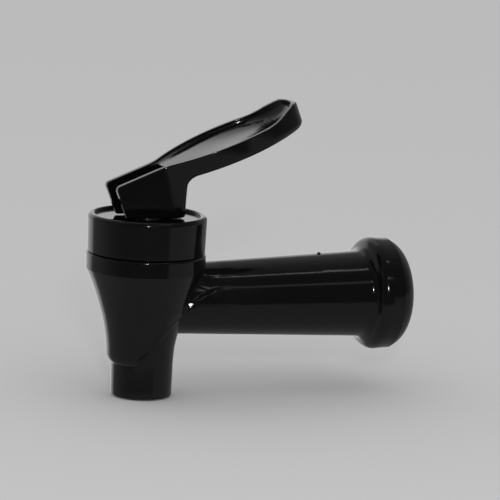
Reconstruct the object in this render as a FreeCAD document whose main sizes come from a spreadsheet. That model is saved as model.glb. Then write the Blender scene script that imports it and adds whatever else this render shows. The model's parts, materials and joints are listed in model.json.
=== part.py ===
import FreeCAD, Part
import math
import os
import Sketcher

# A self-closing drinks tap. The row frame has its origin at the mouth of the threaded inlet, on the
# barrel's axis, with +X pointing out of the inlet towards the tank and +Z up. The valve's own axis is
# vertical and stands at -X. Every piece but the inlet's is drawn round that valve axis and then placed.
# Lengths are millimetres, angles are degrees.

DIMENSIONS = [
    # where the valve stands, and the heights of its main rings above the barrel's axis
    ("valve_offset", 87.8),
    ("cap_top", 27.75),
    ("cap_height", 12.4),
    ("band_height", 5.2),
    ("spout_mouth_drop", 30.8),
    # bonnet cap
    ("cap_setback", 0.05),
    ("cap_draft", 0.25),
    ("cap_seam", 0.45),
    ("cap_edge_round", 1.3),
    ("cap_inner_round", 0.5),
    ("cap_rim_width", 2.3),
    ("cap_recess_depth", 1.0),
    ("cap_plate", 2.6),
    # body: band, neck under the cap, funnel, and the narrower column on the barrel's side
    ("band_radius", 19.05),
    ("band_edge_round", 0.7),
    ("neck_setback", 2.75),
    ("neck_wall", 2.1),
    ("neck_bore_foot", 5.0),
    ("funnel_waist_radius", 14.0),
    ("funnel_waist_drop", 3.3),
    ("funnel_foot_radius", 11.55),
    ("funnel_foot_drop", 17.3),
    ("funnel_upper_curve", 88.0),
    ("funnel_lower_curve", 52.0),
    ("shoulder_round", 3.9),
    ("shoulder_drop", 20.3),
    ("column_radius", 10.0),
    ("column_drop", 18.4),
    ("column_curve", 34.0),
    ("crease_foot_shift", 5.4),
    ("crease_top_shift", 4.5),
    # spout
    ("spout_radius", 9.9),
    ("spout_mouth_radius", 9.8),
    ("spout_wall", 1.6),
    ("spout_edge_round", 0.6),
    # valve chamber and seat
    ("chamber_radius", 8.5),
    ("chamber_top_drop", 9.0),
    ("seat_drop", 14.0),
    ("seat_bore_radius", 6.4),
    ("seat_ring_height", 3.0),
    # barrel and bell flange
    ("barrel_root_radius", 10.85),
    ("barrel_end_radius", 13.93),
    ("barrel_bore_radius", 8.0),
    ("flange_length", 15.4),
    ("flange_radius", 18.25),
    ("flange_taper", 0.2),
    ("bell_foot_length", 2.6),
    ("bell_foot_rise", 2.02),
    ("bell_foot_curve", 2.85),
    ("bell_length", 5.6),
    ("bell_curve", 3.4),
    ("flange_end_length", 4.9),
    ("flange_face_radius", 13.3),
    ("flange_end_curve", 9.0),
    # threaded brass insert and its face seal
    ("insert_length", 14.0),
    ("insert_radius", 9.2),
    ("insert_bore_radius", 7.48),
    ("seal_ring_radius", 10.55),
    ("seal_wire_radius", 0.8),
    ("seal_groove_depth", 1.2),
    # valve stem
    ("stem_radius", 3.9),
    ("stem_top_over_pin", 4.4),
    ("stem_edge_round", 1.0),
    ("stem_guide_foot", 18.0),
    ("rod_radius", 2.6),
    ("collar_radius", 5.9),
    ("collar_height", 1.4),
    ("collar_drop", 6.2),
    ("stem_neck_radius", 1.8),
    ("button_radius", 3.1),
    ("button_height", 1.9),
    ("button_drop", 10.1),
    # silicone seat cup
    ("cup_rim_setback", 0.2),
    ("cup_rim_thickness", 1.6),
    ("cup_clearance", 2.0),
    ("cup_wall", 1.0),
    ("cup_cone_top", 8.0),
    ("cup_cone_drop", 5.0),
    ("cup_tube_radius", 7.3),
    ("cup_foot_radius", 7.9),
    ("cup_foot_height", 1.2),
    ("cup_floor_drop", 9.2),
    # return spring and its washer
    ("spring_radius", 5.0),
    ("spring_wire_radius", 0.5),
    ("spring_half_turns", 14),
    ("spring_closed_halves", 2),
    ("spring_closed_gap", 0.06),
    ("spring_washer_radius", 6.6),
    ("spring_washer_thickness", 0.8),
    # slip washer under the lever
    ("slip_radius", 5.8),
    ("slip_thickness", 1.0),
    ("slip_seat_depth", 0.7),
    # lever: fork that straddles the stem
    ("fork_width", 12.6),
    ("slot_width", 8.4),
    ("pin_rise", 4.4),
    ("pin_radius", 1.5),
    ("pin_length", 10.8),
    ("heel_reach", 11.0),
    ("heel_round", 1.0),
    ("fork_back", 8.5),
    ("fork_corner_round", 1.5),
    ("slot_front_low", 6.9),
    ("slot_front_high", 9.8),
    # lever: long dished paddle, measured along and square to its slope
    ("paddle_tilt", 22.0),
    ("paddle_under", 7.3),
    ("paddle_rim", 13.4),
    ("paddle_centre", 33.2),
    ("paddle_half_length", 24.9),
    ("paddle_half_width", 14.3),
    ("tip_curve", 9.5),
    ("rear_curve", 39.0),
    ("flare_curve", 8.0),
    ("neck_blend", 4.2),
    ("paddle_foot_round", 2.2),
    ("paddle_wall", 1.4),
    ("bowl_tilt", 19.0),
    ("bowl_floor", 11.25),
    ("bowl_shift", 0.5),
    ("dish_depth", 1.65),
    ("dish_reach", 2.6),
    ("dish_neck", 1.6),
    ("curl_start", 43.5),
    ("curl_middle", 50.6),
    ("curl_middle_rise", 1.25),
    ("curl_top", 55.2),
    ("curl_top_rise", 2.4),
    ("curl_end_rise", 1.7),
    ("curl_curve", 22.0),
    ("curl_top_curve", 9.0),
    ("lever_edge_round", 0.3),
    # clearances
    ("running_gap", 0.1),
    ("free_gap", 0.3),
    ("seat_gap", 0.03),
    # how far a cutting shape reaches past what it cuts
    ("margin", 6.0),
]

os.makedirs("parts", exist_ok=True)
doc = FreeCAD.newDocument("drinks_tap")

dims = doc.addObject("Spreadsheet::Sheet", "Dims")
for row, (alias, value) in enumerate(DIMENSIONS, start=1):
    dims.set("A%d" % row, alias)
    dims.set("B%d" % row, str(value))
    dims.setAlias("B%d" % row, alias)
doc.recompute()


def bound(words):
    """The expression with every dimension's name turned into its cell in the sheet."""
    out = []
    word = ""
    for letter in words + " ":
        if letter.isalnum() or letter == "_":
            word += letter
            continue
        out.append("Dims." + word if "_" in word or word == "margin" else word)
        out.append(letter)
        word = ""
    return "".join(out).strip()


def number(words):
    """The present value of an expression in the dimensions."""
    value = dims.evalExpression(bound(words))
    return float(getattr(value, "Value", value))


# steps of the quarter ellipse in which the bowl's walls turn into its floor, in degrees
DISH_TURNS = (0, 30, 60, 90)

# heights above the barrel's axis that several pieces share
BAND_TOP = "(cap_top - cap_height)"
BAND_FOOT = "(cap_top - cap_height - band_height)"
FLOOR = "(cap_top - cap_recess_depth)"
CEILING = "(cap_top - cap_recess_depth - cap_plate)"
NECK_TOP = "(cap_top - cap_recess_depth - cap_plate - cup_rim_thickness)"
SLIP_FOOT = "(cap_top - cap_recess_depth - slip_seat_depth)"
LEVER_FOOT = "(cap_top - cap_recess_depth - slip_seat_depth + slip_thickness)"
PIN_HEIGHT = "(cap_top - cap_recess_depth - slip_seat_depth + slip_thickness + pin_rise)"
SPRING_TOP = "(cap_top - cap_recess_depth - cap_plate - spring_washer_thickness)"
# radii that follow the band's, so that cap, neck and cup fit it at any size
CAP_RADIUS = "(band_radius - cap_setback)"
RECESS_RADIUS = "(band_radius - cap_setback - cap_rim_width)"
NECK_RADIUS = "(band_radius - neck_setback)"
NECK_BORE = "(band_radius - neck_setback - neck_wall)"
CUP_RADIUS = "(band_radius - neck_setback - neck_wall - cup_clearance)"
# distances from the valve's axis along the barrel
FLANGE_START = "(valve_offset - flange_length)"
BELL_FOOT_END = "(valve_offset - flange_length + bell_foot_length)"
BELL_END = "(valve_offset - flange_length + bell_length)"


def new_body(label, at_valve=True):
    """An empty body under its own label, standing on the valve's axis unless it belongs to the inlet."""
    body = doc.addObject("PartDesign::Body", label)
    body.Label = label
    if at_valve:
        body.setExpression("Placement.Base.x", bound("-valve_offset"))
    return body


def sketch_on(body, role, name):
    """A sketch on one of the body's own origin planes."""
    plane = [item for item in body.Origin.OriginFeatures if item.Role == role][0]
    sketch = body.newObject("Sketcher::SketchObject", body.Name + "_" + name)
    sketch.AttachmentSupport = [(plane, "")]
    sketch.MapMode = "FlatFace"
    return sketch


def fix_point(sketch, shape, end, across, up):
    """Ties one end of a line or an arc to its two coordinates."""
    for kind, words in (("DistanceX", across), ("DistanceY", up)):
        place = sketch.addConstraint(Sketcher.Constraint(kind, -1, 1, shape, end, number(words)))
        sketch.setExpression("Constraints[%d]" % place, bound(words))


def outline(sketch, corners):
    """A closed outline. A corner is (across, up), or (across, up, radius, side) where the stretch that
    leaves it is an arc of that radius which bulges to that side of the way it goes."""
    spots = [FreeCAD.Vector(number(corner[0]), number(corner[1]), 0) for corner in corners]
    shapes = []
    for index, corner in enumerate(corners):
        start = spots[index]
        end = spots[(index + 1) % len(spots)]
        if len(corner) == 2:
            shapes.append((sketch.addGeometry(Part.LineSegment(start, end), False), 1, 2))
            continue
        radius = number(corner[2])
        chord = end - start
        left = FreeCAD.Vector(-chord.y, chord.x, 0).normalize()
        side = 1 if corner[3] == "left" else -1
        half = chord.Length / 2
        bulge = radius - math.sqrt(max(radius * radius - half * half, 0))
        middle = (start + end) * 0.5 + left * (side * bulge)
        shape = sketch.addGeometry(Part.Arc(start, middle, end), False)
        if (sketch.getPoint(shape, 1) - start).Length < (sketch.getPoint(shape, 2) - start).Length:
            shapes.append((shape, 1, 2))
        else:
            shapes.append((shape, 2, 1))
        place = sketch.addConstraint(Sketcher.Constraint("Radius", shape, radius))
        sketch.setExpression("Constraints[%d]" % place, bound(corner[2]))
    for index, (shape, first, last) in enumerate(shapes):
        following, next_first, _ = shapes[(index + 1) % len(shapes)]
        sketch.addConstraint(Sketcher.Constraint("Coincident", shape, last, following, next_first))
        fix_point(sketch, shape, first, corners[index][0], corners[index][1])
    return sketch


def ring(sketch, across, up, radius):
    """A circle of that radius about a point."""
    centre = FreeCAD.Vector(number(across), number(up), 0)
    shape = sketch.addGeometry(Part.Circle(centre, FreeCAD.Vector(0, 0, 1), number(radius)), False)
    place = sketch.addConstraint(Sketcher.Constraint("Radius", shape, number(radius)))
    sketch.setExpression("Constraints[%d]" % place, bound(radius))
    fix_point(sketch, shape, 3, across, up)
    return sketch


def turned(body, kind, sketch, axis):
    """A full turn of the sketch about one of its axes, added or taken away."""
    feature = body.newObject("PartDesign::" + kind, sketch.Name + "_turned")
    feature.Profile = sketch
    feature.ReferenceAxis = (sketch, [axis])
    feature.Angle = 360
    sketch.Visibility = False
    doc.recompute()
    return feature


def across_both_ways(body, kind, sketch, length):
    """The sketch pushed out half the length to each side of its plane."""
    feature = body.newObject("PartDesign::" + kind, sketch.Name + "_pushed")
    feature.Profile = sketch
    feature.Midplane = True
    feature.setExpression("Length", bound(length))
    doc.recompute()
    return feature


def rounded(body, name, radius, wanted):
    """A fillet on those edges of the body's present tip that the test picks."""
    doc.recompute()
    base = body.Tip
    names = ["Edge%d" % (place + 1) for place, edge in enumerate(base.Shape.Edges) if wanted(edge)]
    if not names:
        raise ValueError("no edge found for " + name)
    feature = body.newObject("PartDesign::Fillet", body.Name + "_" + name)
    feature.Base = (base, names)
    feature.setExpression("Radius", bound(radius))
    doc.recompute()
    return feature


def is_circle(radius, height, axis="z"):
    """A test for a whole circle of that radius at that height along an axis."""
    wanted_radius = number(radius)
    wanted_height = number(height)

    def test(edge):
        if not isinstance(edge.Curve, Part.Circle):
            return False
        place = getattr(edge.Curve.Center, axis)
        return abs(edge.Curve.Radius - wanted_radius) < 0.01 and abs(place - wanted_height) < 0.01

    return test


def make_tap_body():
    """One hollow moulding: band, funnel, spout, barrel and bell flange."""
    body = new_body("tap_body")
    funnel = sketch_on(body, "XZ_Plane", "funnel")
    outline(funnel, [
        ("0", "-shoulder_drop"),
        ("spout_radius", "-shoulder_drop", "shoulder_round", "right"),
        ("funnel_foot_radius", "-funnel_foot_drop", "funnel_lower_curve", "left"),
        ("funnel_waist_radius", "-funnel_waist_drop", "funnel_upper_curve", "left"),
        ("band_radius", BAND_FOOT),
        ("band_radius", BAND_TOP),
        (NECK_RADIUS, BAND_TOP),
        (NECK_RADIUS, NECK_TOP),
        ("0", NECK_TOP),
    ])
    turned(body, "Revolution", funnel, "V_Axis")

    # the funnel is cut back along a slanting plane on the barrel's side, which leaves the crease
    crease = sketch_on(body, "XZ_Plane", "crease")
    outline(crease, [
        ("-crease_foot_shift", "-shoulder_drop"),
        ("crease_top_shift", "-funnel_waist_drop"),
        ("band_radius + margin", "-funnel_waist_drop"),
        ("band_radius + margin", "-shoulder_drop - margin"),
        ("-crease_foot_shift", "-shoulder_drop - margin"),
    ])
    across_both_ways(body, "Pocket", crease, "4 * band_radius")

    column = sketch_on(body, "XZ_Plane", "column")
    outline(column, [
        ("0", "-spout_mouth_drop"),
        ("spout_mouth_radius", "-spout_mouth_drop"),
        ("spout_radius", "-shoulder_drop"),
        ("column_radius", "-column_drop", "column_curve", "left"),
        ("funnel_waist_radius", "-funnel_waist_drop"),
        ("0", "-funnel_waist_drop"),
    ])
    turned(body, "Revolution", column, "V_Axis")

    barrel = sketch_on(body, "XZ_Plane", "barrel")
    outline(barrel, [
        ("0", "0"),
        ("valve_offset", "0"),
        ("valve_offset", "flange_face_radius", "flange_end_curve", "right"),
        ("valve_offset - flange_end_length", "flange_radius - flange_taper"),
        (BELL_END, "flange_radius", "bell_curve", "right"),
        (BELL_FOOT_END, "barrel_end_radius + bell_foot_rise", "bell_foot_curve", "left"),
        (FLANGE_START, "barrel_end_radius"),
        ("0", "barrel_root_radius"),
    ])
    turned(body, "Revolution", barrel, "H_Axis")

    # the chamber, the valve seat and the spout's bore
    chamber = sketch_on(body, "XZ_Plane", "chamber")
    outline(chamber, [
        ("0", NECK_TOP + " + margin"),
        (NECK_BORE, NECK_TOP + " + margin"),
        (NECK_BORE, "neck_bore_foot"),
        ("chamber_radius", "-chamber_top_drop"),
        ("chamber_radius", "-seat_drop"),
        ("seat_bore_radius", "-seat_drop"),
        ("seat_bore_radius", "-seat_drop - seat_ring_height"),
        ("spout_mouth_radius - spout_wall", "-seat_drop - 1.6 * seat_ring_height"),
        ("spout_mouth_radius - spout_wall", "-spout_mouth_drop - margin"),
        ("0", "-spout_mouth_drop - margin"),
    ])
    turned(body, "Groove", chamber, "V_Axis")

    # the barrel's bore, the socket of the brass insert and the groove of the face seal
    passage = sketch_on(body, "XZ_Plane", "passage")
    outline(passage, [
        ("0", "0"),
        ("0", "barrel_bore_radius"),
        ("valve_offset - insert_length", "barrel_bore_radius"),
        ("valve_offset - insert_length", "insert_radius + seat_gap"),
        ("valve_offset + margin", "insert_radius + seat_gap"),
        ("valve_offset + margin", "0"),
    ])
    turned(body, "Groove", passage, "H_Axis")
    seal = sketch_on(body, "XZ_Plane", "seal")
    outline(seal, [
        ("valve_offset - seal_groove_depth", "seal_ring_radius - seal_wire_radius - seat_gap"),
        ("valve_offset - seal_groove_depth", "seal_ring_radius + seal_wire_radius + seat_gap"),
        ("valve_offset + margin", "seal_ring_radius + seal_wire_radius + seat_gap"),
        ("valve_offset + margin", "seal_ring_radius - seal_wire_radius - seat_gap"),
    ])
    turned(body, "Groove", seal, "H_Axis")

    rounded(body, "mouth_edge", "spout_edge_round", is_circle("spout_mouth_radius", "-spout_mouth_drop"))
    rounded(body, "band_edge", "band_edge_round", is_circle("band_radius", BAND_TOP))
    return body


def make_bonnet_cap():
    """Screwed ring with a raised rim round a recessed floor, and the stem's guide bore."""
    body = new_body("bonnet_cap")
    shell = sketch_on(body, "XZ_Plane", "shell")
    outline(shell, [
        ("stem_radius + running_gap", CEILING),
        (NECK_RADIUS + " + seat_gap", CEILING),
        (NECK_RADIUS + " + seat_gap", BAND_TOP + " + cap_seam"),
        (CAP_RADIUS + " - cap_draft", BAND_TOP + " + cap_seam"),
        (CAP_RADIUS, "cap_top"),
        (RECESS_RADIUS, "cap_top"),
        (RECESS_RADIUS, FLOOR),
        ("slip_radius + free_gap", FLOOR),
        ("slip_radius + free_gap", SLIP_FOOT),
        ("stem_radius + running_gap", SLIP_FOOT),
    ])
    turned(body, "Revolution", shell, "V_Axis")
    rounded(body, "outer_edge", "cap_edge_round", is_circle(CAP_RADIUS, "cap_top"))
    rounded(body, "inner_edge", "cap_inner_round", is_circle(RECESS_RADIUS, "cap_top"))
    return body


def make_inlet_insert():
    """Brass bush with the female thread, flush with the flange's end face."""
    body = new_body("inlet_insert", at_valve=False)
    bush = sketch_on(body, "XZ_Plane", "bush")
    outline(bush, [
        ("-insert_length", "insert_bore_radius"),
        ("0", "insert_bore_radius"),
        ("0", "insert_radius"),
        ("-insert_length", "insert_radius"),
    ])
    turned(body, "Revolution", bush, "H_Axis")
    return body


def make_inlet_seal():
    """Rubber ring in the groove of the flange's end face, a little proud of it."""
    body = new_body("inlet_seal", at_valve=False)
    section = sketch_on(body, "XZ_Plane", "section")
    ring(section, "seal_wire_radius - seal_groove_depth", "seal_ring_radius", "seal_wire_radius")
    turned(body, "Revolution", section, "H_Axis")
    return body


def make_valve_stem():
    """Turned stem: head for the cross pin, guide, rod, spring collar and the button in the cup."""
    body = new_body("valve_stem")
    half = sketch_on(body, "XZ_Plane", "half")
    outline(half, [
        ("0", "-button_drop - button_height"),
        ("button_radius", "-button_drop - button_height"),
        ("button_radius", "-button_drop"),
        ("stem_neck_radius", "-button_drop"),
        ("stem_neck_radius", "-collar_drop - collar_height"),
        ("collar_radius", "-collar_drop - collar_height"),
        ("collar_radius", "-collar_drop"),
        ("rod_radius", "-collar_drop"),
        ("rod_radius", "stem_guide_foot"),
        ("stem_radius", "stem_guide_foot + free_gap"),
        ("stem_radius", PIN_HEIGHT + " + stem_top_over_pin"),
        ("0", PIN_HEIGHT + " + stem_top_over_pin"),
    ])
    turned(body, "Revolution", half, "V_Axis")
    cross = sketch_on(body, "XZ_Plane", "cross_hole")
    ring(cross, "0", PIN_HEIGHT, "pin_radius")
    across_both_ways(body, "Pocket", cross, "4 * stem_radius")
    rounded(body, "head_edge", "stem_edge_round",
            is_circle("stem_radius", PIN_HEIGHT + " + stem_top_over_pin"))
    return body


def make_lever_pin():
    """Steel cross pin, pressed through the stem's head; its ends sit in the lever's blind sockets."""
    body = new_body("lever_pin")
    section = sketch_on(body, "XZ_Plane", "section")
    ring(section, "0", PIN_HEIGHT, "pin_radius")
    across_both_ways(body, "Pad", section, "pin_length")
    return body


def make_seat_cup():
    """Silicone cup: rim clamped under the cap, thin cone, and a thick foot that closes the seat."""
    body = new_body("seat_cup")
    half = sketch_on(body, "XZ_Plane", "half")
    inner_tube = "cup_tube_radius - cup_wall"
    outline(half, [
        ("0", "-seat_drop"),
        ("cup_foot_radius", "-seat_drop"),
        ("cup_foot_radius", "-seat_drop + cup_foot_height"),
        ("cup_tube_radius", "-seat_drop + 2 * cup_foot_height"),
        ("cup_tube_radius", "-cup_cone_drop"),
        (CUP_RADIUS, "cup_cone_top"),
        (CUP_RADIUS, NECK_TOP),
        (NECK_RADIUS + " - cup_rim_setback", NECK_TOP),
        (NECK_RADIUS + " - cup_rim_setback", CEILING),
        (CUP_RADIUS + " - cup_wall", CEILING),
        (CUP_RADIUS + " - cup_wall", "cup_cone_top + cup_wall / 2"),
        (inner_tube, "-cup_cone_drop + cup_wall / 2"),
        (inner_tube, "-cup_floor_drop"),
        ("stem_neck_radius + free_gap", "-cup_floor_drop"),
        ("stem_neck_radius + free_gap", "-button_drop"),
        ("button_radius + free_gap", "-button_drop"),
        ("button_radius + free_gap", "-button_drop - button_height"),
        ("0", "-button_drop - button_height"),
    ])
    turned(body, "Revolution", half, "V_Axis")
    return body


def make_spring_washer():
    """Flat steel washer that the spring pushes against the cap's underside."""
    body = new_body("spring_washer")
    half = sketch_on(body, "XZ_Plane", "half")
    outline(half, [
        ("stem_radius + free_gap", SPRING_TOP),
        ("spring_washer_radius", SPRING_TOP),
        ("spring_washer_radius", CEILING),
        ("stem_radius + free_gap", CEILING),
    ])
    turned(body, "Revolution", half, "V_Axis")
    return body


def make_slip_washer():
    """Acetal washer in the cap's floor; it carries the lever's foot and turns with it."""
    body = new_body("slip_washer")
    half = sketch_on(body, "XZ_Plane", "half")
    outline(half, [
        ("stem_radius + running_gap", SLIP_FOOT),
        ("slip_radius", SLIP_FOOT),
        ("slip_radius", LEVER_FOOT),
        ("stem_radius + running_gap", LEVER_FOOT),
    ])
    turned(body, "Revolution", half, "V_Axis")
    return body


def make_return_spring():
    """Compression spring between the stem's collar and the washer under the cap. Each half turn is a
    level half ring tilted to rise, so the turns meet square, and the end turns lie closed."""
    wire = number("spring_wire_radius")
    mean = number("spring_radius")
    foot = number("-collar_drop") + wire
    height = number(SPRING_TOP) - wire - foot
    halves = int(number("spring_half_turns"))
    closed = int(number("spring_closed_halves"))
    closed_rise = wire + number("spring_closed_gap") / 2
    open_rise = (height - 2 * closed * closed_rise) / (halves - 2 * closed)
    turns = []
    level = 0.0
    for place in range(halves):
        is_open = closed <= place < halves - closed
        rise = open_rise if is_open else closed_rise
        reach = math.hypot(mean, rise / 2)
        half = Part.makeTorus(reach, wire, FreeCAD.Vector(0, 0, 0), FreeCAD.Vector(0, 0, 1), -180, 180, 180)
        half.rotate(FreeCAD.Vector(0, 0, 0), FreeCAD.Vector(0, 1, 0), math.degrees(math.asin(rise / 2 / reach)))
        half.rotate(FreeCAD.Vector(0, 0, 0), FreeCAD.Vector(0, 0, 1), 180 * (place % 2))
        half.translate(FreeCAD.Vector(0, 0, level + rise / 2))
        turns.append(half)
        level += rise
    spring = doc.addObject("Part::Feature", "return_spring")
    spring.Label = "return_spring"
    spring.Shape = turns[0].multiFuse(turns[1:])
    spring.Placement = FreeCAD.Placement(FreeCAD.Vector(-number("valve_offset"), 0, foot), FreeCAD.Rotation())
    return spring


def tilt_plan(sketch, along, square, tilt):
    """Lifts a level sketch to a point given along and square to the slope, and gives it a slope."""
    sketch.AttachmentOffset = FreeCAD.Placement(
        FreeCAD.Vector(number(slope_x(along, square)), 0, number(slope_z(along, square))),
        FreeCAD.Rotation(FreeCAD.Vector(0, -1, 0), number(tilt)))
    sketch.setExpression("AttachmentOffset.Base.x", bound(slope_x(along, square)))
    sketch.setExpression("AttachmentOffset.Base.z", bound(slope_z(along, square)))
    sketch.setExpression("AttachmentOffset.Rotation.Angle", bound(tilt))
    return sketch


def slope_x(along, square):
    """The distance from the valve's axis of a point given along and square to the slope."""
    return "((%s) * cos(paddle_tilt) - (%s) * sin(paddle_tilt))" % (along, square)


def slope_z(along, square):
    """The height of a point given along and square to the slope."""
    return "((%s) * sin(paddle_tilt) + (%s) * cos(paddle_tilt) + cap_top)" % (along, square)


def paddle_plan(centre, back, neck, inset):
    """The paddle seen square to its slope: a straight neck that flares into a long oval. Every arc is
    tangent to the next, so the front arc's radius and the places where arcs meet follow from the rest."""
    length = "(paddle_half_length - %s)" % inset
    width = "(paddle_half_width - %s)" % inset
    tip = "(tip_curve - %s)" % inset
    rear = "(rear_curve - %s)" % inset
    flare = "(flare_curve + %s)" % inset
    front = "(((%s - %s)^2 + %s^2 - %s^2) / (2 * (%s - %s)))" % (length, tip, width, tip, width, tip)
    turn = "((%s - %s) / (%s - %s))" % (length, tip, front, tip)
    tip_along = "(%s + %s * %s)" % (centre, front, turn)
    tip_across = "(%s - %s * (1 - sqrt(1 - %s^2)))" % (width, front, turn)
    step = "(%s - %s)" % (width, neck)
    both = "(%s + %s)" % (rear, flare)
    reach = "sqrt(2 * %s * %s - %s^2)" % (both, step, step)
    flare_start = "(%s - %s)" % (centre, reach)
    flare_end = "(%s - %s * %s / %s)" % (centre, reach, rear, both)
    flare_across = "(%s - %s + (%s - %s) * %s / %s)" % (width, rear, both, step, rear, both)
    return [
        (back, "-" + neck),
        (flare_start, "-" + neck, flare, "left"),
        (flare_end, "-" + flare_across, rear, "right"),
        (centre, "-" + width, front, "right"),
        (tip_along, "-" + tip_across, tip, "right"),
        (tip_along, tip_across, front, "right"),
        (centre, width, rear, "right"),
        (flare_end, flare_across, flare, "left"),
        (flare_start, neck),
        (back, neck),
    ]


def on_slope(point):
    """A point measured along the slope, across it and square to it."""
    tilt = math.radians(number("paddle_tilt"))
    up = point.z - number("cap_top")
    along = point.x * math.cos(tilt) + up * math.sin(tilt)
    square = up * math.cos(tilt) - point.x * math.sin(tilt)
    return along, point.y, square


def samples(edge):
    """A few points along an edge, its ends among them."""
    first, last = edge.ParameterRange
    return [edge.valueAt(first + (last - first) * step / 4) for step in range(5)]


def is_lever_underedge(edge):
    """The edge that runs up the fork's front corners, round the neck and round the paddle's foot."""
    points = samples(edge)
    if max(abs(p.y) for p in points) < number("fork_width") / 2 - 0.01 and on_slope(points[2])[0] < 40:
        return False
    if min(abs(p.y) for p in points) < 0.01 and on_slope(points[2])[0] < 40:
        return False
    foot = number(LEVER_FOOT)
    under = number("paddle_under")
    reach = number("heel_reach")
    for p in points:
        square = on_slope(p)[2]
        in_front = p.x > reach - 0.01 and p.z > foot - 0.01
        if not in_front or square > under + 0.01:
            return False
    return max(p.z for p in points) > foot + 0.01


def is_heel(edge):
    """The edge of the fork's foot under its front face."""
    foot = number(LEVER_FOOT)
    front = number("heel_reach - paddle_foot_round")
    return all(abs(p.z - foot) < 0.01 and p.x > front - 0.3 for p in samples(edge))


def is_lever_rim(edge):
    """The upper edges of the lever's cheeks and of the paddle's rim, inside and outside."""
    rim = number("paddle_rim")
    top = number("paddle_rim + curl_top_rise")
    places = [on_slope(p) for p in samples(edge)]
    if min(square for _, _, square in places) < rim - 0.01 or max(q[2] for q in places) > top + 0.01:
        return False
    heights = [square for _, _, square in places]
    flat = max(heights) - min(heights) < 0.01
    sideways = abs(places[0][1] - places[-1][1]) > 0.1 or abs(places[0][0] - places[-1][0]) > 0.1
    crosses = flat and abs(places[0][0] - places[-1][0]) < 0.01
    return sideways and not crosses


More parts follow.
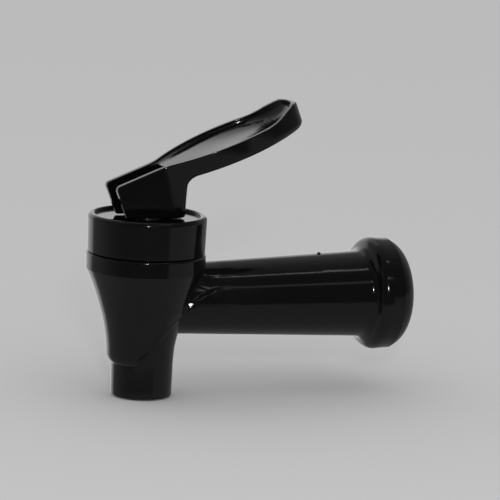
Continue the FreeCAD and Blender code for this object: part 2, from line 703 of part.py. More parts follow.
def make_lever_handle():
    """Fork that straddles the stem, and the long dished paddle that grows out of it."""
    body = new_body("lever_handle")
    side = sketch_on(body, "XZ_Plane", "side")
    # the fork's back edge is square to the slope, its front face is upright
    back_foot = "((-fork_back - (%s - cap_top) * sin(paddle_tilt)) / cos(paddle_tilt))" % LEVER_FOOT
    front_top = "((paddle_under + heel_reach * sin(paddle_tilt)) / cos(paddle_tilt) + cap_top)"
    blend = "(neck_blend * tan((90 - paddle_tilt) / 2))"
    end = "(paddle_centre + paddle_half_length)"
    tip_rim = "paddle_rim + curl_end_rise"
    outline(side, [
        (back_foot, LEVER_FOOT),
        ("heel_reach", LEVER_FOOT),
        ("heel_reach", front_top + " - " + blend, "neck_blend", "left"),
        ("heel_reach + %s * cos(paddle_tilt)" % blend, "%s + %s * sin(paddle_tilt)" % (front_top, blend)),
        (slope_x(end + " + margin", "paddle_under"), slope_z(end + " + margin", "paddle_under")),
        (slope_x(end + " + margin", tip_rim + " - margin / 6"),
         slope_z(end + " + margin", tip_rim + " - margin / 6")),
        (slope_x(end, tip_rim), slope_z(end, tip_rim), "curl_top_curve", "right"),
        (slope_x("curl_top", "paddle_rim + curl_top_rise"), slope_z("curl_top", "paddle_rim + curl_top_rise")),
        (slope_x("curl_middle", "paddle_rim + curl_middle_rise"),
         slope_z("curl_middle", "paddle_rim + curl_middle_rise"), "curl_curve", "left"),
        (slope_x("curl_start", "paddle_rim"), slope_z("curl_start", "paddle_rim")),
        (slope_x("-fork_back + fork_corner_round", "paddle_rim"),
         slope_z("-fork_back + fork_corner_round", "paddle_rim"), "fork_corner_round", "right"),
        (slope_x("-fork_back", "paddle_rim - fork_corner_round"),
         slope_z("-fork_back", "paddle_rim - fork_corner_round")),
    ])
    across_both_ways(body, "Pad", side, "2 * paddle_half_width + margin")

    # what lies outside the plan outline comes off square to the slope
    plan = tilt_plan(sketch_on(body, "XY_Plane", "plan"), "0", "0", "paddle_tilt")
    far = "(paddle_centre + paddle_half_length + 3 * margin)"
    near = "(-fork_back - 3 * margin)"
    wide = "(paddle_half_width + 2 * margin)"
    outline(plan, [(near, "-" + wide), (far, "-" + wide), (far, wide), (near, wide)])
    outline(plan, paddle_plan("paddle_centre", "(-fork_back - margin)", "(fork_width / 2)", "0"))
    across_both_ways(body, "Pocket", plan, "4 * paddle_half_length")
    rounded(body, "underedge", "paddle_foot_round", is_lever_underedge)
    rounded(body, "heel", "heel_round", is_heel)

    # the bowl's floor slopes a little less than the rim, so it runs out towards the fork; its walls
    # stand square to it at the rim and curve into the floor
    middle = "(paddle_centre - bowl_shift)"
    back = "(slot_front_high - paddle_centre + bowl_shift - margin)"
    levels = []
    for place, turn in enumerate(DISH_TURNS):
        inset = "(paddle_wall + dish_reach * (1 - cos(%d)))" % turn
        neck = "(slot_width / 2 - dish_neck * (1 - cos(%d)))" % turn
        level = "(bowl_floor + dish_depth * (1 - sin(%d)))" % turn
        tilt = "paddle_tilt - (paddle_tilt - bowl_tilt) * sin(%d)" % turn
        sketch = tilt_plan(sketch_on(body, "XY_Plane", "bowl_%d" % place), middle, level, tilt)
        levels.append(outline(sketch, paddle_plan("0", back, neck, inset)))
    hollow = body.newObject("PartDesign::Pocket", "lever_handle_bowl_pushed")
    hollow.Profile = levels[0]
    hollow.Reversed = True
    hollow.setExpression("Length", bound("3 * margin"))
    doc.recompute()
    dish = body.newObject("PartDesign::SubtractiveLoft", "lever_handle_dish")
    dish.Profile = levels[0]
    dish.Sections = levels[1:]
    doc.recompute()

    slot = sketch_on(body, "XZ_Plane", "slot")
    outline(slot, [
        ("-heel_reach - margin", LEVER_FOOT + " - margin"),
        ("slot_front_low", LEVER_FOOT + " - margin"),
        ("slot_front_low", LEVER_FOOT),
        (slope_x("slot_front_high", "paddle_rim"), slope_z("slot_front_high", "paddle_rim")),
        (slope_x("slot_front_high", "paddle_rim + margin"), slope_z("slot_front_high", "paddle_rim + margin")),
        ("-heel_reach - margin", slope_z("slot_front_high", "paddle_rim + margin")),
    ])
    across_both_ways(body, "Pocket", slot, "slot_width")

    sockets = sketch_on(body, "XZ_Plane", "sockets")
    ring(sockets, "0", PIN_HEIGHT, "pin_radius + seat_gap")
    across_both_ways(body, "Pocket", sockets, "pin_length + 2 * seat_gap")
    rounded(body, "rim", "lever_edge_round", is_lever_rim)
    return body


# every sub-part, in the order in which they go together
parts = [
    make_tap_body(),
    make_inlet_insert(),
    make_inlet_seal(),
    make_bonnet_cap(),
    make_valve_stem(),
    make_lever_pin(),
    make_seat_cup(),
    make_spring_washer(),
    make_return_spring(),
    make_slip_washer(),
    make_lever_handle(),
]
doc.recompute()

faults = [item.Name for item in doc.Objects if {"Invalid", "Error"} & set(item.State)]
if faults:
    raise SystemExit("failed objects: " + ", ".join(faults))
for part in parts:
    if part.Shape.isNull() or not part.Shape.isValid() or not part.Shape.Solids:
        raise SystemExit("bad shape: " + part.Label)
for part in parts:
    part.Shape.exportStep(os.path.join("parts", part.Label + ".step"))
    box = part.Shape.BoundBox
    print("%-16s %9.1f mm3  x %7.2f %7.2f  y %6.2f %6.2f  z %6.2f %6.2f  solids %d" % (
        part.Label, part.Shape.Volume, box.XMin, box.XMax, box.YMin, box.YMax, box.ZMin, box.ZMax,
        len(part.Shape.Solids)))
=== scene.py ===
import json
import math

import bmesh
import bpy
from mathutils import Matrix, Vector


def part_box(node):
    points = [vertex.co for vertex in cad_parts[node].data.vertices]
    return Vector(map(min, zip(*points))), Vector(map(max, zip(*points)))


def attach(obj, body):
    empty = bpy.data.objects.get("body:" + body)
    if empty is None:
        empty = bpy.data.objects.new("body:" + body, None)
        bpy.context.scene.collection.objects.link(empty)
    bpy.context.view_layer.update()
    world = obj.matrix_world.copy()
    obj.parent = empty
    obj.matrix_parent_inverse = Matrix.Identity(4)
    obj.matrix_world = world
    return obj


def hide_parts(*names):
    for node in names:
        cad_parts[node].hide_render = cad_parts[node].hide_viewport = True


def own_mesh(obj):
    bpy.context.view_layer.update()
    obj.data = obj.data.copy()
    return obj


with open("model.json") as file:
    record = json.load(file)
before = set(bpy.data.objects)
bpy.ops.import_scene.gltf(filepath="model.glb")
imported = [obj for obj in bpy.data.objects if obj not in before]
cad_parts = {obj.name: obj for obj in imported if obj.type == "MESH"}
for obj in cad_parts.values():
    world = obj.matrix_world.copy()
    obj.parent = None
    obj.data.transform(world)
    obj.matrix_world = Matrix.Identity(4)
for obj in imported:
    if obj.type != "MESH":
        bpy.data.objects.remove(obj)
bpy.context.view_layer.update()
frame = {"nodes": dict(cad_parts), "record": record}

# Millimetres to the metre
MM = 1000.0

# The tap's own landmarks, in metres, in the row frame: origin in the inlet's mouth, +X towards the vessel
VALVE_X = (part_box("spring_washer")[0].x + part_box("spring_washer")[1].x) / 2
CAP_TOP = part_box("bonnet_cap")[1].z
SPOUT_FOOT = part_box("tap_body")[0].z
INLET_BORE = frame["record"]["mounts"][0]["dims"]["r_mm"] / MM

# The stub where the barrel's mould was fed: its place and sizes
GATE = (-0.0285, 0.0, 0.0134)
GATE_FOOT_RADIUS, GATE_TIP_RADIUS, GATE_HEIGHT = 0.0007, 0.0005, 0.0009

# 3/8 inch pipe thread; its crest and foot are half widths in pitches
THREAD_PITCH = 0.001337
THREAD_DEPTH = 0.000856
THREAD_CREST, THREAD_FOOT = 0.09, 0.46
THREAD_STEPS, SLEEVE_STEPS = 64, 96

# How near two corners lie that are one: in a CAD surface, and in a new shape
CAD_SEAM = 0.00001
SEAM = 0.000001

# The return spring and the silicone cup hang from these heights
SPRING_TOP, CUP_TOP = 0.02335, 0.02415


class Wire:
    """What comes out of a node. Sums, differences and products of it are Math nodes."""

    def __init__(self, finish, socket):
        self.finish = finish
        self.socket = socket

    def math(self, operation, first, second=0.0):
        return self.finish.node("ShaderNodeMath", {"operation": operation}, {0: first, 1: second})

    def __add__(self, other):
        return self.math("ADD", self, other)

    def __radd__(self, other):
        return self.math("ADD", other, self)

    def __sub__(self, other):
        return self.math("SUBTRACT", self, other)

    def __rsub__(self, other):
        return self.math("SUBTRACT", other, self)

    def __mul__(self, other):
        return self.math("MULTIPLY", self, other)

    def __rmul__(self, other):
        return self.math("MULTIPLY", other, self)

    def __neg__(self):
        return self * -1.0

    def __abs__(self):
        return self.math("ABSOLUTE", self)

    def larger(self, other):
        return self.math("MAXIMUM", self, other)

    def faded(self, low, high):
        """0 up to low, 1 from high on, and smooth between them."""
        inputs = {"Value": self, "From Min": low, "From Max": high, "To Min": 0.0, "To Max": 1.0}
        return self.finish.node("ShaderNodeMapRange", {"interpolation_type": "SMOOTHSTEP"}, inputs)


class Finish:
    """A tree of nodes: a moulded, turned or drawn surface, or the studio round it."""

    def __init__(self, owner):
        self.owner = owner
        owner.use_nodes = True
        self.tree = owner.node_tree

    def node(self, kind, settings, inputs, output=0):
        """A new node of that kind: its settings first, then the values or links of its sockets."""
        made = self.tree.nodes.new(kind)
        for name, value in settings.items():
            setattr(made, name, value)
        for name, value in inputs.items():
            if isinstance(value, Wire):
                self.tree.links.new(value.socket, made.inputs[name])
            else:
                made.inputs[name].default_value = value
        return Wire(self, made.outputs[output]) if len(made.outputs) else None

    def places(self):
        """Object coordinates: the row frame itself, because every piece's object sits at the origin."""
        return self.node("ShaderNodeTexCoord", {}, {}, "Object")

    def parts_of(self, vector):
        split = self.node("ShaderNodeSeparateXYZ", {}, {0: vector}).socket.node
        return [Wire(self, output) for output in split.outputs]

    def mottle(self, vector, scale, detail=2.0, roughness=0.5):
        """Soft patches, so many to the metre."""
        inputs = {"Vector": vector, "Scale": scale, "Detail": detail, "Roughness": roughness}
        return self.node("ShaderNodeTexNoise", {}, inputs, "Fac")

    def stretched(self, vector, scale):
        """The same places, squeezed along some axes, for marks that run one way."""
        return self.node("ShaderNodeMapping", {}, {"Vector": vector, "Scale": scale})

    def blended(self, factor, first, second):
        """A colour between two."""
        return self.node("ShaderNodeMix", {"data_type": "RGBA"}, {0: factor, 6: first, 7: second}, 2)

    def embossed(self, height, distance, strength=1.0, below=None):
        """Fine relief of that height in metres, on top of the relief below."""
        inputs = {"Height": height, "Distance": distance, "Strength": strength}
        if below is not None:
            inputs["Normal"] = below
        return self.node("ShaderNodeBump", {}, inputs)

    def surface(self, fixed, varying):
        """Sets the shader's own sockets, then links what changes over the surface."""
        shader = self.tree.nodes["Principled BSDF"]
        for name, value in fixed.items():
            shader.inputs[name].default_value = value
        for name, wire in varying.items():
            self.tree.links.new(wire.socket, shader.inputs[name])
        return self.owner


def shade(level, tint=(1.0, 1.0, 1.0)):
    """A grey level, or a tint of it."""
    return (level * tint[0], level * tint[1], level * tint[2], 1.0)


def moulded_black(name, gloss, parting_line):
    """Black injection-moulded plastic: deep gloss, a faint ripple, hairline rubs and a parting line."""
    finish = Finish(bpy.data.materials.new(name))
    places = finish.places()
    ripple = finish.mottle(places, 90.0)
    grain = finish.mottle(places, 1400.0)
    handling = finish.mottle(places, 38.0, 4.0, 0.62).faded(0.46, 0.72)
    rubs = finish.mottle(finish.stretched(places, (220.0, 3200.0, 1500.0)), 1.0, 3.0).faded(0.60, 0.74)
    colour = finish.blended(handling, shade(0.0028, (1.0, 1.04, 1.02)), shade(0.0046, (1.0, 1.02, 1.0)))
    roughness = gloss + 0.035 * handling + 0.05 * rubs + 0.015 * grain
    height = finish.embossed(ripple, 0.00006, 0.35)
    height = finish.embossed(grain, 0.000002, 0.5, height)
    if parting_line:
        off_middle = abs(finish.parts_of(places)[1])
        height = finish.embossed(1.0 - off_middle.faded(0.00004, 0.00016), 0.00004, 0.7, height)
    return finish.surface({"IOR": 1.5}, {"Base Color": colour, "Roughness": roughness, "Normal": height})


def turned_brass():
    """Machined brass: fine turning marks round the bore and a little tarnish."""
    finish = Finish(bpy.data.materials.new("turned_brass"))
    places = finish.places()
    marks = finish.mottle(finish.stretched(places, (9000.0, 60.0, 60.0)), 1.0, 2.0)
    tarnish = finish.mottle(places, 160.0, 5.0, 0.6).faded(0.42, 0.7)
    colour = finish.blended(tarnish, shade(1.0, (0.72, 0.50, 0.20)), shade(1.0, (0.50, 0.32, 0.12)))
    roughness = 0.22 + 0.14 * tarnish + 0.08 * marks
    return finish.surface({"Metallic": 1.0}, {
        "Base Color": colour, "Roughness": roughness, "Normal": finish.embossed(marks, 0.000008, 0.6)})


def drawn_steel():
    """Bright drawn wire and pins, with light scuffs."""
    finish = Finish(bpy.data.materials.new("drawn_steel"))
    places = finish.places()
    scuffs = finish.mottle(places, 700.0, 4.0, 0.6)
    colour = finish.blended(scuffs, shade(0.50), shade(0.64))
    roughness = 0.2 + 0.18 * scuffs
    return finish.surface({"Metallic": 1.0}, {
        "Base Color": colour, "Roughness": roughness, "Normal": finish.embossed(scuffs, 0.000006, 0.5)})


def moulded_rubber(name, level, sheen):
    """Rubber or silicone: dull, softly mottled, with the bloom such parts get."""
    finish = Finish(bpy.data.materials.new(name))
    places = finish.places()
    bloom = finish.mottle(places, 220.0, 4.0, 0.6)
    grain = finish.mottle(places, 2600.0)
    colour = finish.blended(bloom.faded(0.4, 0.7), shade(level), shade(level * 1.25 + 0.01))
    roughness = 0.5 + 0.2 * bloom
    return finish.surface({"Sheen Weight": sheen, "Specular IOR Level": 0.4}, {
        "Base Color": colour, "Roughness": roughness, "Normal": finish.embossed(grain, 0.00001, 0.5)})


def turned_acetal(name, level):
    """Acetal: satin, with faint turning rings."""
    finish = Finish(bpy.data.materials.new(name))
    places = finish.places()
    rings = finish.mottle(finish.stretched(places, (70.0, 70.0, 6000.0)), 1.0, 2.0)
    marks = finish.mottle(places, 320.0, 3.0).faded(0.45, 0.7)
    colour = finish.blended(marks, shade(level), shade(level * 1.3 + 0.004))
    roughness = 0.34 + 0.1 * marks
    return finish.surface({"Specular IOR Level": 0.5}, {
        "Base Color": colour, "Roughness": roughness, "Normal": finish.embossed(rings, 0.000006, 0.5)})


def dress(node, material):
    """Gives a CAD node its finish."""
    for slot in frame["nodes"][node].material_slots:
        slot.link = "OBJECT"
        slot.material = material


def piece_from(name, mesh_maker, material, body):
    """A new piece made by bmesh operators, riding on its body."""
    mesh = bpy.data.meshes.new(name)
    work = bmesh.new()
    mesh_maker(work)
    work.to_mesh(mesh)
    work.free()
    for face in mesh.polygons:
        face.use_smooth = True
        face.material_index = 0
    if "custom_normal" in mesh.attributes:
        mesh.attributes.remove(mesh.attributes["custom_normal"])
    piece = bpy.data.objects.new(name, mesh)
    bpy.context.scene.collection.objects.link(piece)
    mesh.materials.append(material)
    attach(piece, body)
    return piece


def loop_of(work, points):
    """A closed loop of edges through points given as (along X, away from the inlet's axis)."""
    corners = [work.verts.new((along, 0.0, away)) for along, away in points]
    edges = [work.edges.new((corners[i - 1], corners[i])) for i in range(len(corners))]
    return corners + edges


def threaded_bush(work):
    """The brass bush: a chamfered sleeve and the helical ridge of its female thread."""
    low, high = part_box("inlet_insert")
    outer = (high.y - low.y) / 2
    back, front = low.x, high.x
    root = INLET_BORE + THREAD_DEPTH
    lead_in = THREAD_DEPTH * 0.6
    sleeve = loop_of(work, [
        (back, root), (back, outer), (front, outer),
        (front, root + lead_in * 0.2), (front - lead_in, root),
    ])
    bmesh.ops.spin(work, geom=sleeve, cent=(0, 0, 0), axis=(1, 0, 0), angle=2 * math.pi,
                   steps=SLEEVE_STEPS, use_merge=True)
    turns = int((front - back - 2 * THREAD_PITCH) / THREAD_PITCH)
    start = back + 0.9 * THREAD_PITCH
    sunk = root + 0.05 * THREAD_DEPTH
    ridge = loop_of(work, [
        (start - THREAD_FOOT * THREAD_PITCH, sunk), (start - THREAD_CREST * THREAD_PITCH, INLET_BORE),
        (start + THREAD_CREST * THREAD_PITCH, INLET_BORE), (start + THREAD_FOOT * THREAD_PITCH, sunk),
    ])
    bmesh.ops.spin(work, geom=ridge, cent=(0, 0, 0), axis=(1, 0, 0), angle=2 * math.pi * turns,
                   dvec=(THREAD_PITCH / THREAD_STEPS, 0, 0), steps=THREAD_STEPS * turns)
    bmesh.ops.remove_doubles(work, verts=work.verts, dist=SEAM)
    bmesh.ops.holes_fill(work, edges=work.edges, sides=4)
    bmesh.ops.recalc_face_normals(work, faces=work.faces)


def copied(work, node):
    """Starts from the node's own surface."""
    work.from_mesh(frame["nodes"][node].data)
    bmesh.ops.remove_doubles(work, verts=work.verts, dist=CAD_SEAM)
    bmesh.ops.recalc_face_normals(work, faces=work.faces)


def with_edges(faces):
    """Faces with their edges and corners, as the cutting operator wants them."""
    edges = {edge for face in faces for edge in face.edges}
    corners = {vert for face in faces for vert in face.verts}
    return faces + list(edges) + list(corners)


def sliced(work, cut, place, square_to):
    """What is left of those faces, edges and corners, now cut along a plane."""
    return bmesh.ops.bisect_plane(work, geom=cut, dist=SEAM, plane_co=place, plane_no=square_to)["geom"]


def creased(work, limit=32.0):
    """Leaves only triangles, with a crisp edge wherever two of them meet at more than the limit."""
    bmesh.ops.triangulate(work, faces=[face for face in work.faces if len(face.verts) > 3])
    work.normal_update()
    for edge in work.edges:
        edge.smooth = edge.calc_face_angle(0.0) < math.radians(limit)


def coiled_spring(work):
    copied(work, "return_spring")
    creased(work)


def seat_bellows(work):
    copied(work, "seat_cup")
    creased(work)


def gate_stub(work):
    """The stub where the moulding's gate was cut off, on the parting line on top of the barrel."""
    bmesh.ops.create_cone(work, cap_ends=True, segments=20, radius1=GATE_FOOT_RADIUS, radius2=GATE_TIP_RADIUS,
                          depth=GATE_HEIGHT)
    upper = [edge for edge in work.edges if all(vert.co.z > 0 for vert in edge.verts)]
    bmesh.ops.bevel(work, geom=upper, offset=GATE_HEIGHT / 5, segments=3, profile=0.5, affect="EDGES",
                    material=-1)
    bmesh.ops.translate(work, verts=work.verts, vec=GATE)


# The lever's paddle, in millimetres: along and square to its slope from the cap's top on the valve's axis
PADDLE_SLOPE = math.radians(22.0)
RIM_HEIGHTS = ((9.0, 13.4), (43.5, 13.4), (47.0, 13.8), (50.6, 14.65), (55.2, 15.8), (58.5, 15.1))
RIM_EDGE = 0.35
BOWL_MIDDLE, BOWL_HALF_LENGTH, BOWL_HALF_WIDTH = 32.7, 23.5, 12.9
BOWL_WALL = 1.3
BOWL_BACK, BOWL_FLOOR = 10.0, 9.4
# How wide a strip of the bowl's floor is: along the paddle, and across it
BOWL_STEP, BOWL_SIDE_STEP = 2.0, BOWL_HALF_WIDTH / 8
# How much of a normal points out of the bowl, at least: on its floor, on its slopes and on its walls
FLOOR_FACING, SLOPE_FACING, WALL_FACING = 0.8, 0.3, -0.2


def on_paddle(point):
    """How far a point lies along the paddle, across it, and square to it."""
    along, up = (point.x - VALVE_X) * MM, (point.z - CAP_TOP) * MM
    cosine, sine = math.cos(PADDLE_SLOPE), math.sin(PADDLE_SLOPE)
    return along * cosine + up * sine, point.y * MM, up * cosine - along * sine


def rim_height(along):
    """How high the rim stands there, square to the slope."""
    for (start, low), (end, high) in zip(RIM_HEIGHTS, RIM_HEIGHTS[1:]):
        if along <= end:
            return low + (high - low) * max(0.0, along - start) / (end - start)
    return RIM_HEIGHTS[-1][1]


def dished_lever(work):
    """The lever, with the floor of its bowl rising in a smooth dish to a low wall under the rim."""
    copied(work, "lever_handle")
    upright = Vector((-math.sin(PADDLE_SLOPE), 0.0, math.cos(PADDLE_SLOPE)))
    down_paddle = Vector((math.cos(PADDLE_SLOPE), 0.0, math.sin(PADDLE_SLOPE)))
    foot = Vector((VALVE_X, 0.0, CAP_TOP))

    def in_bowl(point, normal):
        along, across, square = on_paddle(point)
        inwards = normal.dot(down_paddle) * (BOWL_MIDDLE - along) - normal.y * across
        facing = normal.dot(upright)
        turned_in = facing > SLOPE_FACING or (inwards > 0.0 and facing > WALL_FACING)
        return along > BOWL_BACK and BOWL_FLOOR < square < rim_height(along) - RIM_EDGE and turned_in

    floor = [face for face in work.faces
             if face.normal.dot(upright) > FLOOR_FACING and in_bowl(face.calc_center_median(), face.normal)]
    cut = with_edges(floor)
    for step in range(-7, 8):
        cut = sliced(work, cut, (0, step * BOWL_SIDE_STEP / MM, 0), (0, 1, 0))
    for step in range(1, 24):
        cut = sliced(work, cut, foot + down_paddle * (BOWL_BACK + step * BOWL_STEP) / MM, down_paddle)
    work.normal_update()
    raised = [vert for vert in work.verts if in_bowl(vert.co, vert.normal)]
    for vert in raised:
        along, across, square = on_paddle(vert.co)
        outwards = (across / BOWL_HALF_WIDTH) ** 2 + ((along - BOWL_MIDDLE) / BOWL_HALF_LENGTH) ** 4
        rise = (rim_height(along) - BOWL_WALL - square) * min(1.0, outwards)
        vert.co += upright * max(0.0, rise) / MM
    creased(work)


# The moulded body's soft forms, in millimetres from the valve's axis. The hollow lies on the barrel beside
# the funnel, behind an S-shaped edge that starts low at the funnel and runs up along the barrel.
HOLLOW_DEPTH, HOLLOW_REACH = 0.68, 1.5
HOLLOW_START, HOLLOW_GROWN, HOLLOW_FADES, HOLLOW_END = 10.2, 11.2, 13.0, 24.0
HOLLOW_FOOT, HOLLOW_ROOF, HOLLOW_HEAD = -3.6, 6.5, 10.0
HOLLOW_SIDE, HOLLOW_BRINK = 11.8, 12.3
EDGE_START, EDGE_CURVE, EDGE_TOP, EDGE_DROP = 11.1, 6.0, 5.3, 7.2
EDGE_LEAN, EDGE_STEEP_TO, EDGE_LEVEL_FROM = 0.64, 11.0, 20.0
EDGE_ROUND, FLOOR_ROUND = 0.22, 0.2
# The crease runs on from the edge's foot, aslant across the funnel
CREASE_START, CREASE_SLOPE = 12.2, 0.95
CREASE_FOOT, CREASE_GROWN, CREASE_FADES, CREASE_HEAD = -19.5, -18.0, -2.6, -1.6
CREASE_CUT_SIDE, CREASE_SIDE, CREASE_SIDE_GROWN = 5.0, 8.0, 9.5
CREASE_HEIGHT, CREASE_HALF_WIDTH = 0.11, 0.65
# Outer skin lies beyond these distances from the valve's axis: at the barrel's root, with so much more for
# every millimetre up, and on the funnel, for a face and for a corner. The last is from the barrel's axis.
ROOT_SKIN, ROOT_FLARE = 13.0, 0.35
FUNNEL_FACE_SKIN, FUNNEL_CORNER_SKIN = 9.2, 9.8
BARREL_SKIN = 10.3
# How fine the skin is cut for the hollow, and from what angle on an edge of the body is crisp
FORM_STEP = 0.25
BODY_CRISP = 14.0


def eased(value, low, high):
    """0 up to low, 1 from high on, and smooth between them."""
    share = min(1.0, max(0.0, (value - low) / (high - low)))
    return share * share * (3.0 - 2.0 * share)


def rounded_ramp(value, width):
    """0 for negative values and the value itself for positive ones, with a rounded edge between."""
    return (math.hypot(value, width) + value) / 2


def from_valve(point):
    """A point's place in millimetres: along the barrel from the valve's axis, across it, and up."""
    return (point.x - VALVE_X) * MM, point.y * MM, point.z * MM


def is_outside(along, across, up):
    """True on the body's outer skin round the barrel's root, and false in its bores."""
    return math.hypot(along, across) > ROOT_SKIN + ROOT_FLARE * max(0.0, up)


def hollow(along, across, up):
    """How deep the hollow is at a point of the outer skin."""
    edge = EDGE_TOP - EDGE_DROP * math.exp((EDGE_START - along) / EDGE_CURVE)
    lean = EDGE_LEAN + (1.0 - EDGE_LEAN) * eased(along, EDGE_STEEP_TO, EDGE_LEVEL_FROM)
    behind = rounded_ramp((up - edge) * lean, EDGE_ROUND)
    sunk = HOLLOW_REACH - rounded_ramp(HOLLOW_REACH - behind, FLOOR_ROUND)
    lengthwise = eased(along, HOLLOW_START, HOLLOW_GROWN) * (1.0 - eased(along, HOLLOW_FADES, HOLLOW_END))
    sideways = 1.0 - eased(abs(across), HOLLOW_SIDE, HOLLOW_BRINK)
    upwards = 1.0 - eased(up, HOLLOW_ROOF, HOLLOW_HEAD)
    return HOLLOW_DEPTH * sunk / HOLLOW_REACH * lengthwise * sideways * upwards


def off_crease(along, up):
    """How far a place lies from the crease's line, along the barrel."""
    return along - CREASE_SLOPE * up - CREASE_START


def crease(along, across, up):
    """How high the crease is at a point of the outer skin."""
    ridge = 1.0 - eased(abs(off_crease(along, up)), 0.0, CREASE_HALF_WIDTH)
    upwards = eased(up, CREASE_FOOT, CREASE_GROWN) * (1.0 - eased(up, CREASE_FADES, CREASE_HEAD))
    return CREASE_HEIGHT * ridge * upwards * eased(abs(across), CREASE_SIDE, CREASE_SIDE_GROWN)


def softened_body(work):
    """The moulded body, with the hollow beside its funnel and the crease worked into the skin."""
    copied(work, "tap_body")

    def in_hollow(face):
        along, across, up = from_valve(face.calc_center_median())
        inside = HOLLOW_START < along < HOLLOW_END and HOLLOW_FOOT < up < HOLLOW_HEAD
        return inside and math.hypot(across, up) > BARREL_SKIN and is_outside(along, across, up)

    def at_crease(face):
        places = [from_valve(vert.co) for vert in face.verts]
        offsets = [off_crease(along, up) for along, across, up in places]
        crossed = min(offsets) < CREASE_HALF_WIDTH and max(offsets) > -CREASE_HALF_WIDTH
        high = any(CREASE_FOOT < up < CREASE_HEAD for along, across, up in places)
        beside = all(abs(across) > CREASE_CUT_SIDE for along, across, up in places)
        out = all(math.hypot(along, across) > FUNNEL_FACE_SKIN for along, across, up in places)
        return crossed and high and beside and out

    def lengths(start, end):
        """Places from start to end in metres, one step apart and without the start."""
        return [(start + step * FORM_STEP) / MM for step in range(1, int((end - start) / FORM_STEP) + 1)]

    for along in (HOLLOW_START, HOLLOW_END):
        sliced(work, with_edges(work.faces[:]), (VALVE_X + along / MM, 0, 0), (1, 0, 0))
    for up in (HOLLOW_FOOT, HOLLOW_HEAD):
        sliced(work, with_edges(work.faces[:]), (VALVE_X, 0, up / MM), (0, 0, 1))
    cut = with_edges([face for face in work.faces if in_hollow(face)])
    for along in lengths(HOLLOW_START, HOLLOW_END):
        cut = sliced(work, cut, (VALVE_X + along, 0, 0), (1, 0, 0))
    for up in lengths(HOLLOW_FOOT, HOLLOW_HEAD):
        cut = sliced(work, cut, (VALVE_X, 0, up), (0, 0, 1))
    cut = with_edges([face for face in work.faces if at_crease(face)])
    for step in range(-4, 5):
        along = CREASE_START + step * CREASE_HALF_WIDTH / 4
        cut = sliced(work, cut, (VALVE_X + along / MM, 0, 0), (1, 0, -CREASE_SLOPE))
    work.normal_update()
    for vert in work.verts:
        along, across, up = from_valve(vert.co)
        if HOLLOW_START < along < HOLLOW_END and up > HOLLOW_FOOT and is_outside(along, across, up):
            vert.co -= vert.normal * hollow(along, across, up) / MM
        elif math.hypot(along, across) > FUNNEL_CORNER_SKIN and up < CREASE_HEAD:
            vert.co += vert.normal * crease(along, across, up) / MM
    creased(work, BODY_CRISP)


# ---- finishes
black_body = moulded_black("black_body", 0.10, True)
black_cap = moulded_black("black_cap", 0.09, False)
black_lever = moulded_black("black_lever", 0.09, False)
brass = turned_brass()
steel = drawn_steel()
rubber = moulded_rubber("seal_rubber", 0.012, 0.05)
silicone = moulded_rubber("clear_silicone", 0.55, 0.1)
acetal_dark = turned_acetal("dark_acetal", 0.012)

dress("tap_body", black_body)
dress("bonnet_cap", black_cap)
dress("lever_handle", black_lever)
dress("inlet_insert", brass)
dress("inlet_seal", rubber)
dress("valve_stem", acetal_dark)
dress("slip_washer", acetal_dark)
dress("seat_cup", silicone)
dress("lever_pin", steel)
dress("spring_washer", steel)
dress("return_spring", steel)

# ---- pieces
body = piece_from("softened_body", softened_body, black_body, "tap")
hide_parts("tap_body")
bush = piece_from("threaded_bush", threaded_bush, brass, "tap")
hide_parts("inlet_insert")
paddle = piece_from("dished_lever", dished_lever, black_lever, "lever")
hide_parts("lever_handle")
piece_from("gate_stub", gate_stub, black_body, "tap")

# ---- the return spring and the seat cup, as pieces with meshes of their own
spring = piece_from("coiled_spring", coiled_spring, steel, "tap")
bellows = piece_from("seat_bellows", seat_bellows, silicone, "tap")
for soft, node, upper_end in ((spring, "return_spring", SPRING_TOP), (bellows, "seat_cup", CUP_TOP)):
    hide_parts(node)
    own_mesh(soft)

# ---- camera: the photograph's angle
AZIMUTH, ELEVATION, ROLL = (math.radians(angle) for angle in (-21.59, 10.10, -2.55))
DISTANCE = 1.06952
IMAGE = 500.0
PIXELS_PER_METRE = 3160.0
FOCAL = PIXELS_PER_METRE * DISTANCE
AIM = Vector((VALVE_X, 0.0, CAP_TOP))
AIM_PIXEL = (147.69, 213.37)


def bearing(azimuth, elevation):
    """The way from the tap to what stands at those angles, in radians: 0, 0 is straight along -Y."""
    return Vector((math.sin(azimuth) * math.cos(elevation), -math.cos(azimuth) * math.cos(elevation),
                   math.sin(elevation)))


back = bearing(AZIMUTH, ELEVATION)
right = Vector((math.cos(AZIMUTH), math.sin(AZIMUTH), 0.0))
up = back.cross(right)
rolled_right = math.cos(ROLL) * right - math.sin(ROLL) * up
rolled_up = math.sin(ROLL) * right + math.cos(ROLL) * up
aside = (AIM_PIXEL[0] - IMAGE / 2) / PIXELS_PER_METRE
above = (IMAGE / 2 - AIM_PIXEL[1]) / PIXELS_PER_METRE

camera_data = bpy.data.cameras.new("camera")
camera_data.sensor_width = 36.0
camera_data.lens = FOCAL / IMAGE * camera_data.sensor_width
camera = bpy.data.objects.new("camera", camera_data)
turn = Matrix((rolled_right, rolled_up, back)).transposed().to_4x4()
camera.matrix_world = Matrix.Translation(
    AIM + DISTANCE * back - aside * rolled_right - above * rolled_up) @ turn
bpy.context.scene.collection.objects.link(camera)
bpy.context.scene.camera = camera

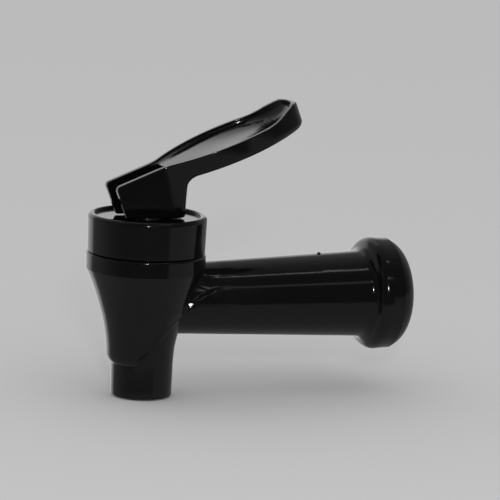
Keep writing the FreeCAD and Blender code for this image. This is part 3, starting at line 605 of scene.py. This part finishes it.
# ---- floor, just under the spout's foot, as pale as the backdrop
PALE = 0.62
FLOOR_SIZE, FLOOR_GAP = 6.0, 0.0002
floor_mesh = bpy.data.meshes.new("floor")
floor_work = bmesh.new()
bmesh.ops.create_grid(floor_work, x_segments=1, y_segments=1, size=FLOOR_SIZE)
bmesh.ops.translate(floor_work, verts=floor_work.verts, vec=(VALVE_X, 0.0, SPOUT_FOOT - FLOOR_GAP))
floor_work.to_mesh(floor_mesh)
floor_work.free()
floor = bpy.data.objects.new("floor", floor_mesh)
bpy.context.scene.collection.objects.link(floor)
floor_paint = Finish(bpy.data.materials.new("floor_paint"))
floor_mesh.materials.append(floor_paint.surface(
    {"Base Color": shade(PALE), "Roughness": 0.9, "Specular IOR Level": 0.1}, {}))
floor.visible_glossy = False

# ---- studio: a pale wall behind, a dark room in front, and fill that only lights matt surfaces.
# In the gloss the table top shows below, and reaches further up at the sides than in front.
FRONT, BEHIND, ABOVE_WALL, TABLE, WALL, FILL = 0.045, 0.24, 0.55, 0.22, 0.95, 0.80
studio = Finish(bpy.data.worlds.new("studio"))
bpy.context.scene.world = studio.owner
studio.tree.nodes.clear()
toward = studio.parts_of(studio.node("ShaderNodeTexCoord", {}, {}, "Generated"))
beside = 1.0 - (-0.67 * toward[0] - 0.74 * toward[1]).faded(0.31, 0.45)
table = (-toward[2]).faded(0.18, 0.29).larger(beside * (-toward[2]).faded(-0.05, 0.05))
wall = toward[1].faded(0.78, 0.90) * (1.0 - toward[2].faded(0.36, 0.56))
above_wall = toward[1].faded(0.35, 0.65) * (1.0 - abs(toward[0]).faded(0.15, 0.34)) * 0.8
room = studio.blended(toward[1].faded(-0.60, 0.80), shade(FRONT, (0.94, 1.04, 0.98)), shade(BEHIND))
room = studio.blended(above_wall, room, shade(ABOVE_WALL))
room = studio.blended(table, room, shade(TABLE))
room = studio.blended(wall, room, shade(WALL))
rays = studio.node("ShaderNodeLightPath", {}, {}, "Is Camera Ray").socket.node
seen = Wire(studio, rays.outputs["Is Camera Ray"])
glossy, through = (Wire(studio, rays.outputs[name]) for name in ("Is Glossy Ray", "Is Transmission Ray"))
mirrored = glossy.larger(through)
fill = studio.node("ShaderNodeBackground", {}, {"Color": shade(FILL), "Strength": 1.0})
in_gloss = studio.node("ShaderNodeBackground", {}, {"Color": room, "Strength": 1.0})
backdrop = studio.node("ShaderNodeBackground", {}, {"Color": shade(PALE), "Strength": 1.0})
lit = studio.node("ShaderNodeMixShader", {}, {0: mirrored, 1: fill, 2: in_gloss})
shown = studio.node("ShaderNodeMixShader", {}, {0: seen, 1: lit, 2: backdrop})
studio.node("ShaderNodeOutputWorld", {}, {"Surface": shown})


def lamp(name, azimuth, elevation, distance, size, power, length=None, shift=0.0):
    """A soft lamp aimed at the tap from an angle: a disc, or with a length a strip that lies along X.
    The shift slides it along X."""
    data = bpy.data.lights.new(name, "AREA")
    data.energy = power
    data.shape = "RECTANGLE" if length else "DISK"
    data.size = length or size
    if length:
        data.size_y = size
    outwards = bearing(math.radians(azimuth), math.radians(elevation))
    along = Vector((1.0, 0.0, 0.0))
    along = (along - along.dot(outwards) * outwards).normalized()
    turned = Matrix((along, outwards.cross(along), outwards)).transposed().to_4x4()
    middle = Vector((VALVE_X / 2 + shift, 0.0, 0.0))
    holder = bpy.data.objects.new(name, data)
    holder.matrix_world = Matrix.Translation(middle + distance * outwards) @ turned
    bpy.context.scene.collection.objects.link(holder)


lamp("near_lamp", azimuth=-19.5, elevation=18, distance=1.15, size=0.075, power=2.2)
lamp("low_strip", azimuth=0, elevation=39, distance=0.9, size=0.065, power=0.020, length=0.22, shift=0.30)
lamp("rim_strip", azimuth=0, elevation=39, distance=0.9, size=0.045, power=0.085, length=0.45, shift=-0.08)
lamp("high_strip", azimuth=0, elevation=75, distance=0.9, size=0.016, power=0.070, length=0.29, shift=0.24)

bpy.context.scene.view_settings.view_transform = "Standard"
